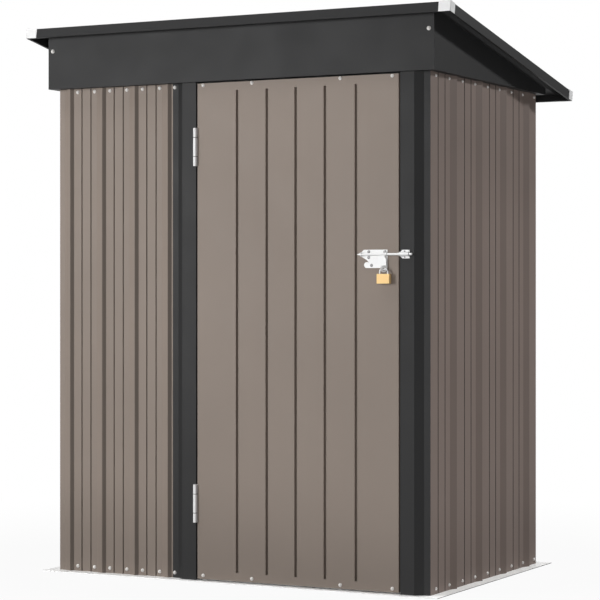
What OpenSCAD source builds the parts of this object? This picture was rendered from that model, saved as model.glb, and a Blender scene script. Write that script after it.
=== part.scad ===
/* [Building] */
// Width over the two side walls
wall_w = 1320; // [1240:10:1500]
// Depth over the front and back walls
wall_d = 864; // [760:2:1000]
// Height of the top edge of the wall sheets
wall_top = 1566; // [1450:2:1700]
// Thickness of the wall, roof and door sheets
sheet = 0.8; // [0.6:0.1:1]
// Thickness of the rails, posts and trims
frame_t = 1.2; // [1:0.1:1.6]

/* [Wall sheets] */
// Pitch of the ribs on the narrow front wall
front_pitch = 123; // [110:1:140]
// First rib foot on the front wall, from the left corner
front_first = 54.5; // [45:0.5:65]
// Pitch of the ribs on the side and back walls
side_pitch = 201.5; // [180:0.5:230]
// Rib foot behind the first corner of a side wall
side_first = -7.5; // [-12:0.5:0]
// Height of a rib above the flat of the sheet
rib_h = 9; // [6:0.5:12]
// Width of the crest of a rib
crest_w = 2.4; // [1:0.2:5]
// Width of a bead groove at the face
groove_w = 5; // [4:0.5:8]
// Width of the floor of a bead groove
groove_floor = 2; // [1:0.5:3]
// Depth of a bead groove
groove_d = 3.6; // [2:0.2:4.4]
// Flat left at the two ends of a sheet
sheet_edge = 6; // [4:1:10]

/* [Base] */
// Thickness of the base rail flange
base_t = 2; // [1.5:0.5:4]
// Width of the base flange outside the walls
base_out = 40; // [30:1:50]
// Height of the base rail upstand
base_leg = 36; // [30:1:45]
// Leg length of the inside corner angles
angle_leg = 40; // [30:1:46]
// Width of the top rail flange
top_leg = 30; // [24:1:36]

/* [Doorway] */
// Width of the door
door_w = 695; // [620:1:710]
// Thickness of the door pan
door_depth = 16; // [14:0.5:17]
// Distance of the door face in front of the wall sheets
proud = 19; // [18:0.5:22]
// Gap between the hinge jamb and the door
hinge_gap = 5.5; // [5:0.1:7]
// Gap between the door and the latch post
latch_gap = 5.4; // [5.4:0.1:8]
// Gap over and under the door
door_gap = 5; // [5:0.5:8]
// Width of the face of the latch post
post_face = 45.5; // [40:0.5:56]
// Width of the face of the hinge jamb
jamb_face = 50; // [40:0.5:60]
// Width of the sloping side of the post and jamb
post_slope = 24.5; // [18:0.5:30]
// Width of the outer flange of the post and jamb
post_flange = 20.5; // [16:0.5:24]
// Width of the foot of the post and jamb behind the doorway edge
post_foot = 20; // [14:1:26]
// Grooves on each side of the middle groove of the door
side_grooves = 2; // [1:1:2]
// Spacing of the middle grooves
door_pitch = 100.5; // [80:0.5:106]
// Spacing of the outer grooves
outer_pitch = 105; // [80:0.5:110]
// Width of a door groove at the face
door_groove_w = 9; // [6:0.5:12]
// Depth of a door groove
door_groove_d = 10; // [5:0.5:11]
// Lean of the two walls of a door groove
groove_lean = 0.8; // [0:0.2:2]
// Height of the channels behind the top and bottom of the door
door_rail = 25; // [20:1:34]

/* [Hinges] */
// Length of a hinge
hinge_len = 119; // [90:1:140]
// Diameter of the hinge barrel
barrel_d = 12; // [10:0.5:13]
// Diameter of the hinge pin
pin_d = 5; // [4:0.5:6]
// Running clearance around the pin
pin_fit = 0.06; // [0.04:0.01:0.09]
// Gap between the knuckles
knuckle_gap = 0.4; // [0.3:0.1:0.8]
// Thickness of a hinge leaf
leaf_t = 1.6; // [1.2:0.1:1.8]
// Clearance between a leaf and the knuckles that pass it
leaf_gap = 0.5; // [0.3:0.1:1]
// Middle of the upper hinge below the top of the door
hinge_drop = 199; // [100:1:300]
// Middle of the lower hinge above the bottom of the door
hinge_rise = 236; // [100:1:300]

/* [Latch] */
// Height of the latch rod
latch_z = 1020; // [900:1:1150]
// Diameter of the latch rod
rod_d = 7.5; // [6:0.5:9]
// Running clearance around the rod in its guides
rod_fit = 0.15; // [0.1:0.05:0.3]
// Travel of the rod
rod_travel = 52; // [50:1:56]
// Length of the rod past the inner edge of the latch post
rod_reach = 41.5; // [34:0.5:43]
// Length of the pointed end of the rod
rod_tail = 10.5; // [6:0.5:16]
// Distance of the latch plate from the edge of the door
plate_inset = 36; // [30:1:44]
// Thickness of the latch plate
plate_t = 2; // [1.5:0.5:3]
// Height of the latch plate above the rod
plate_up = 14; // [11:0.5:18]
// Height of the latch plate below the rod
plate_down = 41; // [36:1:46]
// Slant of the upper corner of the latch plate
plate_nose = 9; // [6:1:12]
// Radius of the lower eye of the latch plate
eye_r = 9; // [7:0.5:10]
// Distance of the lower eye from the end of the latch plate
eye_x = 19.5; // [16:0.5:24]
// Notch over the lower eye
eye_notch = 6; // [3:0.5:8]
// Length of a rod guide
guide_l = 5; // [4:0.5:7]
// Wall of a rod guide around the rod
guide_wall = 2; // [1.5:0.5:3]
// Width of the tab on the rod
tab_w = 22; // [18:1:26]
// Thickness of the tab
tab_t = 2.5; // [2:0.5:3]
// Clearance between the tab and the guides
tab_gap = 2; // [1:0.5:4]
// Distance of the padlock eye below the rod
lug_drop = 44; // [40:1:50]
// Radius of the padlock eye
lug_r = 10.5; // [9:0.5:12]
// Angle of the padlock eye to the door face in degrees
lug_fold = 45; // [35:1:45]
// Length of the keeper
keeper_l = 31; // [24:1:36]
// Height of the keeper over its two feet
keeper_h = 25.5; // [22:0.5:34]
// Length of the flare at the mouth of the keeper
keeper_flare = 8; // [4:1:12]
// Thickness of the keeper strap
keeper_t = 1.6; // [1.2:0.1:2]
// Clearance of the keeper around the rod
keeper_fit = 1; // [0.6:0.2:1.6]
// Width of the padlock body
lock_w = 42.5; // [38:0.5:48]
// Height of the padlock body
lock_h = 29; // [26:1:36]
// Thickness of the padlock body
lock_t = 14; // [12:1:16]
// Radius of the upright edges of the padlock body
lock_edge = 1.5; // [0.5:0.5:3]
// Distance of the padlock body below the padlock eye
lock_drop = 15; // [13:0.5:20]
// Distance between the legs of the shackle
shackle_span = 27; // [24:0.5:30]
// Diameter of the padlock shackle
shackle_d = 4.8; // [4:0.2:5]
// Bend radius of the shackle
shackle_bend = 8; // [6:0.5:10]

/* [Roof] */
// Overhang of the roof beyond the side walls
side_over = 90; // [80:1:110]
// Overhang of the roof in front of the front wall
front_over = 56; // [48:1:80]
// Overhang of the roof behind the back wall
back_over = 107; // [80:1:130]
// Height of the roof's front edge above the wall sheets
front_rise = 196; // [170:1:230]
// Height of the roof's back edge above the wall sheets
back_rise = 12.5; // [8:0.5:30]
// Height of the face of the roof trims
trim_h = 30.4; // [26:0.2:34]
// Width of the top flange of the roof trims
trim_top = 25; // [20:1:32]
// Width of the hem under the roof trims
trim_hem = 8; // [5:1:14]
// Height of the ribs of the roof sheets
roof_rib = 8; // [6:0.5:12]
// Number of ribs across the roof
roof_ribs = 9; // [6:3:12]
// Width of the crest of a roof rib
roof_crest = 40; // [24:1:50]
// Gap between the ends of the roof sheets and the edge of the roof
sheet_end = 4; // [2:0.5:8]
// Length of the corner caps along the front and back trims
cap_w = 38; // [30:1:50]
// Length of the corner caps along the side trims
cap_l = 31; // [24:1:44]
// Thickness of the corner caps
cap_t = 1.5; // [1:0.5:3]
// Radius of the outer corner of a cap
cap_edge = 3; // [1:0.5:3.5]
// Distance of the front fascia in front of the wall sheets
fascia_out = 30; // [26:1:36]
// Distance of the side and back fascias outside the wall sheets
gable_out = 25; // [20:1:30]

/* [Hidden] */
$fn = 48;

half_w = wall_w / 2;
roof_w = wall_w + 2 * side_over;
roof_d = wall_d + front_over + back_over;
roof_top = wall_top + front_rise;
roof_fall = atan((front_rise - back_rise) / roof_d);
roof_len = roof_d / cos(roof_fall);
roof_front = (trim_h * sin(roof_fall) - roof_d) / 2;
roof_under = roof_rib + sheet + frame_t;
roof_pitch = (roof_w - 2 * frame_t) / roof_ribs;
valley_seat = 12;
roof_edge = side_over - gable_out - roof_rib - valley_seat;
front_y = roof_front + front_over;
back_y = front_y + wall_d;
frame_in = groove_d + sheet;
leg_in = frame_in + frame_t;
front_form = [0.252, 0.533, 0.715, 0.905];
side_form = [0.317, 0.573, 0.76, 0.915];
post_left = half_w - post_flange - post_slope - post_face;
door_right = post_left - latch_gap;
door_left = door_right - door_w;
door_mid = (door_left + door_right) / 2;
door_bottom = base_t + door_gap;
door_top = wall_top - door_gap;
hinge_high = door_top - hinge_drop;
hinge_low = door_bottom + hinge_rise;
jamb_right = door_left - hinge_gap;
front_wall_len = half_w + jamb_right - jamb_face - post_slope / 2;
face_y = front_y - proud;
hinge_x = jamb_right;
hinge_y = face_y - barrel_d / 2;
bore_r = rod_d / 2 + rod_fit;
bore_skin = 0.6;
guide_r = bore_r + guide_wall;
plate_l = 2 * guide_l + 2 * tab_gap + tab_w + rod_travel;
plate_right = door_right - plate_inset;
plate_left = plate_right - plate_l;
plate_y = face_y - plate_t;
rod_y = plate_y - bore_r - bore_skin;
tab_right = plate_right - guide_l - tab_gap;
lock_gap = 5;
lug_x = tab_right;
lug_y = face_y - lock_gap - lock_t / 2;
lug_z = latch_z - lug_drop;
lug_fit = 0.4;
lug_hole = (shackle_d / cos(lug_fold) + tab_t * tan(lug_fold)) / 2 + lug_fit;
lock_top = lug_z - lock_drop;
shackle_sag = 1;
socket_d = 8;
socket_fit = 0.3;
key_slot = [7, 1.6, 5];
big = 4000;

function inside(a, b, len) = a > sheet_edge && b < len - sheet_edge;

function groove(c, len) = inside(c - groove_w / 2, c + groove_w / 2, len)
    ? [[c - groove_w / 2, 0], [c - groove_floor / 2, -groove_d],
       [c + groove_floor / 2, -groove_d], [c + groove_w / 2, 0]]
    : [];

function rib(s, pitch, form, len) = inside(s + form[2] * pitch, s + pitch, len)
    ? [[s + form[2] * pitch, 0], [s + form[3] * pitch, rib_h],
       [s + form[3] * pitch + crest_w, rib_h], [s + pitch, 0]]
    : [];

function wall_line(len, pitch, first, form) = concat(
    [[0, 0]],
    [for (k = [-1 : ceil(len / pitch)])
        let (s = first + k * pitch)
        each concat(
            groove(s + form[0] * pitch, len),
            groove(s + form[1] * pitch, len),
            rib(s, pitch, form, len))],
    [[len, 0]]);

function back_to_front(line) = [for (i = [len(line) - 1 : -1 : 0]) line[i]];

module ribbed_sheet(len, pitch, first, form) {
    line = wall_line(len, pitch, first, form);
    translate([0, 0, base_t])
        linear_extrude(wall_top - base_t)
            polygon(concat(
                [for (p = line) [p[0], -p[1]]],
                [for (p = back_to_front(line)) [p[0], sheet - p[1]]]));
}

module block(x0, x1, y0, y1, z0, z1) {
    translate([x0, y0, z0])
        cube([x1 - x0, y1 - y0, z1 - z0]);
}

module mirrored(side) {
    if (side > 0)
        children();
    else
        mirror([1, 0, 0])
            children();
}

module on_roof() {
    translate([0, roof_front, roof_top])
        rotate([-roof_fall, 0, 0])
            children();
}

module under_roof() {
    difference() {
        children();
        on_roof()
            block(-big, big, -big, big, -roof_under, big);
    }
}

// Base rails: a flange on the ground and an upstand behind the sheets
module front_base_rail() {
    color("LightGray") {
        block(-half_w - base_out, half_w + base_out, front_y - base_out, front_y + leg_in, 0, base_t);
        block(-half_w + frame_in, half_w - frame_in, front_y + frame_in, front_y + leg_in, 0, base_leg);
    }
}

module back_base_rail() {
    color("LightGray") {
        block(-half_w - base_out, half_w + base_out, back_y - leg_in, back_y + base_out, 0, base_t);
        block(-half_w + frame_in, half_w - frame_in, back_y - leg_in, back_y - frame_in, 0, base_leg);
    }
}

module side_base_rail() {
    block(half_w - leg_in, half_w + base_out, front_y + leg_in, back_y - leg_in, 0, base_t);
    block(half_w - leg_in, half_w - frame_in, front_y + leg_in, back_y - leg_in, 0, base_leg);
}

module left_base_rail() {
    color("LightGray")
        mirrored(-1)
            side_base_rail();
}

module right_base_rail() {
    color("LightGray")
        side_base_rail();
}

// Wall sheets: roll-formed ribs between pairs of bead grooves
module front_wall() {
    color("Tan")
        translate([-half_w, front_y, 0])
            ribbed_sheet(front_wall_len, front_pitch, front_first - front_pitch, front_form);
}

module left_wall() {
    color("Tan")
        translate([-half_w, back_y - sheet, 0])
            rotate([0, 0, -90])
                ribbed_sheet(wall_d - 2 * sheet, side_pitch, side_first, side_form);
}

module right_wall() {
    color("Tan")
        translate([half_w, front_y, 0])
            rotate([0, 0, 90])
                ribbed_sheet(wall_d - sheet, side_pitch, side_first, side_form);
}

module back_wall() {
    color("Tan")
        translate([half_w, back_y, 0])
            rotate([0, 0, 180])
                ribbed_sheet(wall_w, side_pitch, side_first, side_form);
}

// Inside corner angles between the base and top rails
module corner_angle(front) {
    y0 = front ? front_y + leg_in : back_y - leg_in - angle_leg;
    leg_y = front ? y0 : y0 + angle_leg - frame_t;
    block(half_w - leg_in - frame_t, half_w - leg_in, y0, y0 + angle_leg, base_t, wall_top - frame_t);
    block(half_w - leg_in - angle_leg, half_w - leg_in, leg_y, leg_y + frame_t, base_t, wall_top - frame_t);
}

module front_left_angle() {
    color("DimGray")
        mirrored(-1)
            corner_angle(true);
}

module front_right_angle() {
    color("DimGray")
        corner_angle(true);
}

module back_left_angle() {
    color("DimGray")
        mirrored(-1)
            corner_angle(false);
}

module back_right_angle() {
    color("DimGray")
        corner_angle(false);
}

// Door posts: flange on the wall, sloping side, face, and a return into the doorway
module post_profile(face) {
    slope_in = frame_t * tan(atan((proud - frame_t) / post_slope) / 2);
    polygon([
        [0, frame_in],
        [0, -proud],
        [face, -proud],
        [face + post_slope, -frame_t],
        [face + post_slope + post_flange, -frame_t],
        [face + post_slope + post_flange, 0],
        [face + post_slope - slope_in, 0],
        [face - slope_in, frame_t - proud],
        [frame_t, frame_t - proud],
        [frame_t, frame_in - frame_t],
        [post_foot, frame_in - frame_t],
        [post_foot, frame_in]
    ]);
}

module hinge_jamb() {
    color("DarkSlateGray")
        translate([jamb_right, front_y, base_t])
            mirror([1, 0, 0])
                linear_extrude(wall_top - base_t)
                    post_profile(jamb_face);
}

module latch_post() {
    color("DarkSlateGray")
        translate([post_left, front_y, base_t])
            linear_extrude(wall_top - base_t)
                post_profile(post_face);
}

// Top rails: an angle behind the top edge of the sheets
module end_top_rail() {
    x1 = half_w - frame_in;
    block(-x1, x1, frame_in, leg_in, wall_top - base_leg, wall_top);
    block(-x1, x1, frame_in, frame_in + top_leg, wall_top - frame_t, wall_top);
}

module front_top_rail() {
    color("DimGray")
        translate([0, front_y, 0])
            end_top_rail();
}

module back_top_rail() {
    color("DimGray")
        translate([0, back_y, 0])
            mirror([0, 1, 0])
                end_top_rail();
}

module side_top_rail() {
    y0 = front_y + frame_in + top_leg;
    y1 = back_y - frame_in - top_leg;
    block(half_w - leg_in, half_w - frame_in, y0, y1, wall_top - base_leg, wall_top);
    block(half_w - frame_in - top_leg, half_w - frame_in, y0, y1, wall_top - frame_t, wall_top);
}

module left_top_rail() {
    color("DimGray")
        mirrored(-1)
            side_top_rail();
}

module right_top_rail() {
    color("DimGray")
        side_top_rail();
}

// Fascias: closing strips from the top of the walls up to the roof
module front_fascia() {
    x1 = half_w + gable_out;
    y0 = front_y - fascia_out;
    color("DarkSlateGray")
        under_roof() {
            block(-x1, x1, y0, y0 + frame_t, wall_top, roof_top);
            block(frame_t - x1, x1 - frame_t, y0, front_y + frame_in + top_leg,
                wall_top, wall_top + frame_t);
        }
}

module back_fascia() {
    x1 = half_w + gable_out - frame_t;
    y1 = back_y + gable_out;
    color("DarkSlateGray")
        under_roof() {
            block(-x1, x1, y1 - frame_t, y1, wall_top, roof_top);
            block(-x1, x1, back_y - frame_in - top_leg, y1, wall_top, wall_top + frame_t);
        }
}

module gable() {
    x1 = half_w + gable_out;
    y0 = front_y - fascia_out + frame_t;
    under_roof() {
        block(x1 - frame_t, x1, y0, back_y + gable_out, wall_top, roof_top);
        block(half_w - frame_in - top_leg, x1, front_y + frame_in + top_leg, back_y - frame_in - top_leg,
            wall_top, wall_top + frame_t);
    }
}

module left_gable() {
    color("DarkSlateGray")
        mirrored(-1)
            gable();
}

module right_gable() {
    color("DarkSlateGray")
        gable();
}

// Roof sheets: trapezoid ribs running down the fall, with wide flats at the side edges
function crest_half(k) = k == 0 || k == roof_ribs ? roof_edge : roof_crest / 2;

function rib_up(x, half) = [[x - half - roof_rib, 0], [x - half, roof_rib]];

function rib_down(x, half) = [[x + half, roof_rib], [x + half + roof_rib, 0]];

function roof_line(a, b) = let (x0 = frame_t - roof_w / 2) concat(
    [[x0 + a * roof_pitch, roof_rib]],
    rib_down(x0 + a * roof_pitch, crest_half(a)),
    [for (k = [a + 1 : b - 1])
        each concat(
            rib_up(x0 + k * roof_pitch, crest_half(k)),
            rib_down(x0 + k * roof_pitch, crest_half(k)))],
    rib_up(x0 + b * roof_pitch, crest_half(b)),
    [[x0 + b * roof_pitch, roof_rib]]);

module roof_sheet(part) {
    step = roof_ribs / 3;
    line = roof_line(part * step, (part + 1) * step);
    color("DarkSlateGray")
        on_roof()
            translate([0, sheet_end, 0])
                rotate([-90, 0, 0])
                    linear_extrude(roof_len - 2 * sheet_end)
                        polygon(concat(
                            [for (p = line) [p[0], roof_under - p[1]]],
                            [for (p = back_to_front(line)) [p[0], roof_under - sheet - p[1]]]));
}

module left_roof_sheet() {
    roof_sheet(0);
}

module middle_roof_sheet() {
    roof_sheet(1);
}

module right_roof_sheet() {
    roof_sheet(2);
}

// Roof trims: folded channels square to the roof around its four edges
module at_end(front) {
    if (front)
        children();
    else
        translate([0, roof_len, 0])
            mirror([0, 1, 0])
                children();
}

module side_roof_trim() {
    x1 = roof_w / 2;
    v1 = roof_len - frame_t;
    on_roof() {
        block(x1 - frame_t, x1, frame_t, v1, -trim_h, 0);
        block(x1 - trim_top, x1, frame_t, v1, -frame_t, 0);
        block(x1 - trim_hem, x1, frame_t, v1, -trim_h, frame_t - trim_h);
    }
}

module left_roof_trim() {
    color("DarkSlateGray")
        mirrored(-1)
            side_roof_trim();
}

module right_roof_trim() {
    color("DarkSlateGray")
        side_roof_trim();
}

module end_roof_trim(front) {
    x1 = roof_w / 2;
    on_roof()
        at_end(front) {
            block(-x1, x1, 0, frame_t, -trim_h, 0);
            block(trim_top - x1, x1 - trim_top, 0, trim_top, -frame_t, 0);
            block(trim_hem - x1, x1 - trim_hem, 0, trim_hem, -trim_h, frame_t - trim_h);
        }
}

module front_roof_trim() {
    color("DarkSlateGray")
        end_roof_trim(true);
}

module back_roof_trim() {
    color("DarkSlateGray")
        end_roof_trim(false);
}

// Corner caps: shells over the corners of the trims, open underneath
module cap_outline() {
    x0 = roof_w / 2 - cap_w;
    x1 = roof_w / 2 + cap_t;
    translate([x0, -cap_t])
        square([x1 - x0 - cap_edge, cap_l + cap_t]);
    translate([x0, cap_edge - cap_t])
        square([x1 - x0, cap_l + cap_t - cap_edge]);
    translate([x1 - cap_edge, cap_edge - cap_t])
        circle(cap_edge);
}

module corner_cap(front) {
    on_roof()
        at_end(front)
            difference() {
                translate([0, 0, -trim_h])
                    linear_extrude(trim_h + cap_t)
                        cap_outline();
                block(0, roof_w / 2, 0, roof_len, -2 * trim_h, 0);
            }
}

module front_left_cap() {
    color("White")
        mirrored(-1)
            corner_cap(true);
}

module front_right_cap() {
    color("White")
        corner_cap(true);
}

module back_left_cap() {
    color("White")
        mirrored(-1)
            corner_cap(false);
}

module back_right_cap() {
    color("White")
        corner_cap(false);
}

// Hinges: outer knuckles and pin on the jamb, middle knuckle on the door
module knuckle(z0, z1) {
    translate([0, 0, z0])
        cylinder(d = barrel_d, h = z1 - z0);
}

module jamb_hinge(z) {
    q = hinge_len / 4;
    x0 = jamb_right - hinge_x;
    y0 = face_y - hinge_y;
    color("Silver")
        translate([hinge_x, hinge_y, z]) {
            knuckle(-2 * q, -q);
            knuckle(q, 2 * q);
            cylinder(d = pin_d, h = hinge_len, center = true);
            block(x0, x0 + leaf_t, y0 + leaf_gap, y0 + proud, -2 * q, 2 * q);
            block(x0, x0 + leaf_t, 0, y0 + 2 * leaf_gap, -2 * q, -q);
            block(x0, x0 + leaf_t, 0, y0 + 2 * leaf_gap, q, 2 * q);
        }
}

module door_hinge(z) {
    q = hinge_len / 4 - knuckle_gap;
    x1 = door_left - hinge_x;
    y0 = face_y - hinge_y;
    color("Silver")
        translate([hinge_x, hinge_y, z])
            difference() {
                union() {
                    knuckle(-q, q);
                    block(x1 - leaf_t, x1, y0 + leaf_gap, y0 + door_depth, -hinge_len / 2, hinge_len / 2);
                    block(x1 - leaf_t, x1, 0, y0 + 2 * leaf_gap, -q, q);
                }
                cylinder(d = pin_d + 2 * pin_fit, h = 2 * hinge_len, center = true);
            }
}

module upper_jamb_hinge() {
    jamb_hinge(hinge_high);
}

module lower_jamb_hinge() {
    jamb_hinge(hinge_low);
}

module upper_door_hinge() {
    door_hinge(hinge_high);
}

module lower_door_hinge() {
    door_hinge(hinge_low);
}

// Door: a shallow pan with pressed grooves and a channel at the top and bottom
function groove_x(i) = door_mid + sign(i) * (door_pitch + (abs(i) - 1) * outer_pitch);

module groove_form(wall, ahead) {
    half = door_groove_w / 2 + wall;
    polygon([
        [-half, -ahead],
        [-half, 0],
        [groove_lean - half, door_groove_d + wall],
        [half - groove_lean, door_groove_d + wall],
        [half, 0],
        [half, -ahead]
    ]);
}

module door_troughs(wall, ahead) {
    z0 = door_bottom + door_rail + sheet - wall;
    z1 = door_top - door_rail - sheet + wall;
    for (i = [-side_grooves : side_grooves])
        translate([groove_x(i), face_y, z0])
            linear_extrude(z1 - z0)
                groove_form(wall, ahead);
}

module door_panel() {
    color("Tan")
        difference() {
            union() {
                difference() {
                    block(door_left, door_right, face_y, face_y + door_depth, door_bottom, door_top);
                    block(door_left + sheet, door_right - sheet, face_y + sheet, face_y + 2 * door_depth,
                        door_bottom + sheet, door_top - sheet);
                }
                door_troughs(sheet, 0);
            }
            door_troughs(0, 1);
        }
}

module door_channel(z0, z1) {
    x0 = door_left + sheet;
    x1 = door_right - sheet;
    y0 = face_y + sheet;
    y1 = face_y + door_depth;
    difference() {
        block(x0, x1, y0, y1, z0, z1);
        block(x0 - 1, x1 + 1, y0 + frame_t, y1 + 1, z0 + frame_t, z1 - frame_t);
    }
}

module door_top_channel() {
    color("DimGray")
        door_channel(door_top - door_rail, door_top - sheet);
}

module door_bottom_channel() {
    color("DimGray")
        door_channel(door_bottom + sheet, door_bottom + door_rail);
}

// Latch: plate with two guides, a sliding rod with its tab, and the keeper
module along_x(x0, x1) {
    translate([x0, 0, 0])
        rotate([90, 0, 90])
            linear_extrude(x1 - x0)
                children();
}

module guide_profile() {
    difference() {
        union() {
            translate([rod_y, latch_z])
                circle(guide_r);
            translate([rod_y, latch_z - guide_r])
                square([plate_y + plate_t / 2 - rod_y, 2 * guide_r]);
        }
        translate([rod_y, latch_z])
            circle(bore_r);
    }
}

module plate_outline() {
    waist = plate_down - 2 * eye_r;
    polygon([
        [plate_nose, plate_up],
        [0, plate_up - plate_nose],
        [0, -guide_r],
        [eye_x, eye_notch - waist],
        [eye_x + eye_notch, -waist],
        [eye_x, -plate_down],
        [plate_l, -plate_down],
        [plate_l, plate_up]
    ]);
    translate([eye_x, eye_r - plate_down])
        circle(eye_r);
}

module latch_plate() {
    color("Silver") {
        translate([plate_left, face_y, latch_z])
            rotate([90, 0, 0])
                linear_extrude(plate_t)
                    plate_outline();
        along_x(plate_left, plate_left + guide_l)
            guide_profile();
        along_x(plate_right - guide_l, plate_right)
            guide_profile();
    }
}

module tab_outline() {
    x0 = tab_right - tab_w;
    x1 = lug_x + (rod_y - lug_y) / tan(lug_fold);
    shoulder = latch_z - guide_r - tab_gap;
    polygon([
        [x0, latch_z],
        [tab_right, latch_z],
        [tab_right, shoulder],
        [x1, shoulder + tab_right - x1],
        [x1, lug_z - lug_r / 2],
        [x1 - tab_w / 4, lug_z - lug_r / 2],
        [x1 - tab_w / 4, lug_z + lug_r],
        [x0, lug_z + lug_r]
    ]);
}

module eye_disc(r, h) {
    translate([lug_x, lug_y, lug_z])
        rotate([90, 0, lug_fold])
            cylinder(r = r, h = h, center = true);
}

module latch_rod() {
    rod_end = post_left + rod_reach;
    color("Silver")
        difference() {
            union() {
                translate([plate_left - rod_tail, rod_y, latch_z])
                    rotate([0, 90, 0])
                        cylinder(d1 = rod_d / 3, d2 = rod_d, h = rod_tail);
                translate([plate_left, rod_y, latch_z])
                    rotate([0, 90, 0])
                        cylinder(d = rod_d, h = rod_end - plate_left);
                translate([0, rod_y + tab_t / 2, 0])
                    rotate([90, 0, 0])
                        linear_extrude(tab_t)
                            tab_outline();
                eye_disc(lug_r, tab_t);
            }
            eye_disc(lug_hole, 2 * tab_t);
        }
}

module keeper_profile() {
    r = rod_d / 2 + keeper_fit;
    difference() {
        union() {
            translate([rod_y, latch_z])
                circle(r + keeper_t);
            translate([rod_y, latch_z - r - keeper_t])
                square([face_y - rod_y, 2 * (r + keeper_t)]);
            translate([face_y - keeper_t, latch_z - keeper_h / 2])
                square([keeper_t, keeper_h]);
        }
        translate([rod_y, latch_z])
            circle(r);
        translate([rod_y, latch_z - r])
            square([2 * (face_y - rod_y), 2 * r]);
    }
}

module latch_keeper() {
    mouth = rod_d / 2 + keeper_fit + keeper_t;
    color("Silver")
        intersection() {
            along_x(post_left, post_left + keeper_l)
                keeper_profile();
            translate([post_left, 0, latch_z])
                rotate([90, 0, 0])
                    linear_extrude(big)
                        polygon([
                            [0, mouth],
                            [0, -mouth],
                            [keeper_flare, -keeper_h / 2],
                            [keeper_l, -keeper_h / 2],
                            [keeper_l, keeper_h / 2],
                            [keeper_flare, keeper_h / 2]
                        ]);
        }
}

// Padlock: brass body hanging from the eye by its shackle
module lock_outline() {
    square([lock_w - 2 * lock_edge, lock_t], center = true);
    square([lock_w, lock_t - 2 * lock_edge], center = true);
    for (x = [-1, 1], y = [-1, 1])
        translate([x * (lock_w / 2 - lock_edge), y * (lock_t / 2 - lock_edge)])
            circle(lock_edge);
}

module padlock_body() {
    color("Gold")
        translate([lug_x, lug_y, lock_top - lock_h])
            difference() {
                linear_extrude(lock_h)
                    lock_outline();
                for (side = [-1, 1])
                    translate([side * shackle_span / 2, 0, lock_h - socket_d])
                        cylinder(d = shackle_d + 2 * socket_fit, h = 2 * socket_d);
                cube([key_slot[0], key_slot[1], 2 * key_slot[2]], center = true);
            }
}

module padlock_shackle() {
    leg = lug_z - shackle_sag - shackle_bend - lock_top + socket_d;
    straight = shackle_span / 2 - shackle_bend;
    color("Silver")
        translate([lug_x, lug_y, lock_top - socket_d]) {
            for (side = [-1, 1])
                mirrored(side) {
                    translate([shackle_span / 2, 0, 0])
                        cylinder(d = shackle_d, h = leg);
                    translate([straight, 0, leg])
                        rotate([90, 0, 0])
                            rotate_extrude(angle = 90)
                                translate([shackle_bend, 0])
                                    circle(d = shackle_d);
                }
            translate([-straight, 0, leg + shackle_bend])
                rotate([0, 90, 0])
                    cylinder(d = shackle_d, h = 2 * straight);
        }
}

front_base_rail();
back_base_rail();
left_base_rail();
right_base_rail();
front_wall();
left_wall();
right_wall();
back_wall();
front_left_angle();
front_right_angle();
back_left_angle();
back_right_angle();
hinge_jamb();
latch_post();
front_top_rail();
back_top_rail();
left_top_rail();
right_top_rail();
front_fascia();
back_fascia();
left_gable();
right_gable();
left_roof_sheet();
middle_roof_sheet();
right_roof_sheet();
front_roof_trim();
back_roof_trim();
left_roof_trim();
right_roof_trim();
front_left_cap();
front_right_cap();
back_left_cap();
back_right_cap();
upper_jamb_hinge();
lower_jamb_hinge();
latch_keeper();
door_panel();
door_top_channel();
door_bottom_channel();
upper_door_hinge();
lower_door_hinge();
latch_plate();
latch_rod();
padlock_body();
padlock_shackle();
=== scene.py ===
import math

import bmesh
import bpy
from bpy.props import FloatProperty, FloatVectorProperty, PointerProperty
from mathutils import Matrix, Vector


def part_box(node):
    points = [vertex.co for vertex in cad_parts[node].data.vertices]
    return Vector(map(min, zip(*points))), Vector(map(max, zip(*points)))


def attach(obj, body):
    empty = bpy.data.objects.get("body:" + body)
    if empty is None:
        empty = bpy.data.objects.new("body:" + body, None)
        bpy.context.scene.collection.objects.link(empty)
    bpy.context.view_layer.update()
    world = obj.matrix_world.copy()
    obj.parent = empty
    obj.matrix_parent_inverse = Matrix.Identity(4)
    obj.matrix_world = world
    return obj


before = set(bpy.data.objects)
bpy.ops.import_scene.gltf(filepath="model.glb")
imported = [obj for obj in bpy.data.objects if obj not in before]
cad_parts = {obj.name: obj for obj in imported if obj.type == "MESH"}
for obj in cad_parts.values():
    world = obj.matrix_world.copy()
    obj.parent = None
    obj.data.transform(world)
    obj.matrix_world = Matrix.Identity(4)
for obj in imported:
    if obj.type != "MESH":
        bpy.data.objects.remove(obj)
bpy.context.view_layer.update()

bl_info = {
    "name": "Metal Storage Shed",
    "version": (1, 0, 0),
    "blender": (4, 5, 0),
    "location": "View3D > Sidebar > Shed",
    "description": "Finishes, bolts and studio for a small metal storage shed",
    "category": "Object",
}

# Low and high corners of the pieces that carry bolts, screws or finishes by height
FRONT_LO, FRONT_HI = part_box("front_wall")
SIDE_LO, SIDE_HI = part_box("right_wall")
BACK_LO, BACK_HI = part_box("back_wall")
DOOR_LO, DOOR_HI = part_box("door_panel")
JAMB_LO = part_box("hinge_jamb")[0]
FASCIA_LO, FASCIA_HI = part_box("front_fascia")
PLATE_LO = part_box("latch_plate")[0]
KEEPER_LO, KEEPER_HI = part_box("latch_keeper")
UPPER_LO, UPPER_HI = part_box("upper_jamb_hinge")
LOWER_LO, LOWER_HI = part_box("lower_jamb_hinge")

# Sockets of a mix node that is set to colours
MIX_SHARE = 0
MIX_UNDER = 6
MIX_OVER = 7
MIX_RESULT = 2

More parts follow.
